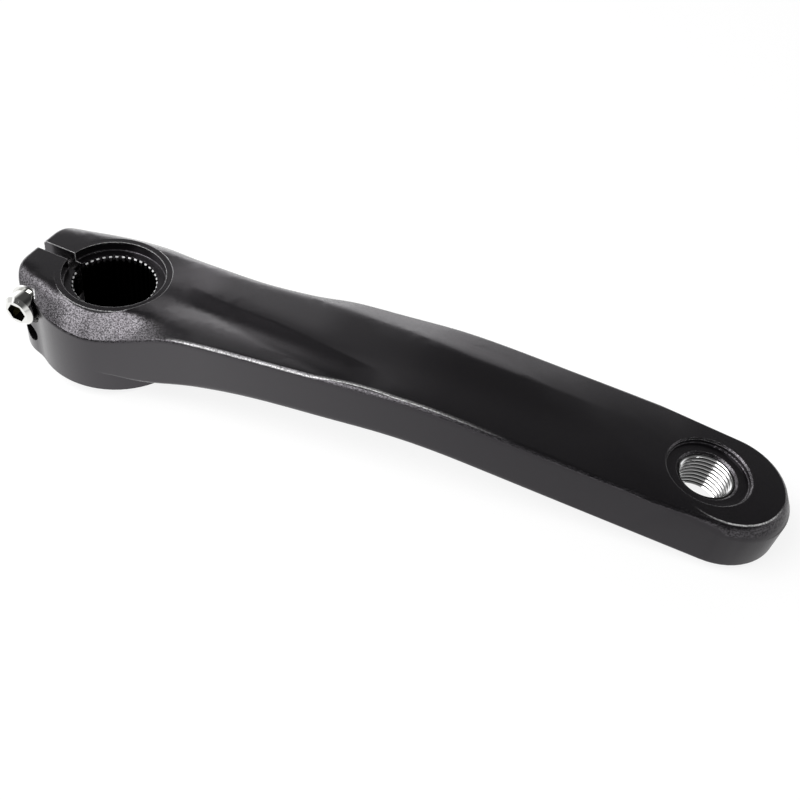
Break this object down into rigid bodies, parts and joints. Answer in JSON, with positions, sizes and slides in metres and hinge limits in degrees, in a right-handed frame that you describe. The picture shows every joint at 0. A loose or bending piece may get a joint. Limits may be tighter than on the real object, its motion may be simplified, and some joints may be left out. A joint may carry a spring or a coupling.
{
  "type": "bicycle crank arm",
  "caption": "Black forged left-hand bicycle crank arm with a slotted, splined spindle clamp, pinch bolts and a threaded pedal eye.",
  "frame": {"origin": "on the spindle axis, level with the clamp's outer face", "axes": "+Z outboard along the spindle axis, +X from the spindle axis towards the pedal axis"},
  "size_m": [0.2167, 0.0454, 0.0388],
  "materials": {
    "black_alloy": "satin black anodised forging",
    "bright_steel": "bright plated steel"
  },
  "bodies": {
    "root": {"crank_arm": "black_alloy", "front_pinch_bolt": "bright_steel", "back_pinch_bolt": "bright_steel", "front_washer": "bright_steel", "back_washer": "bright_steel"}
  },
  "joints": []
}
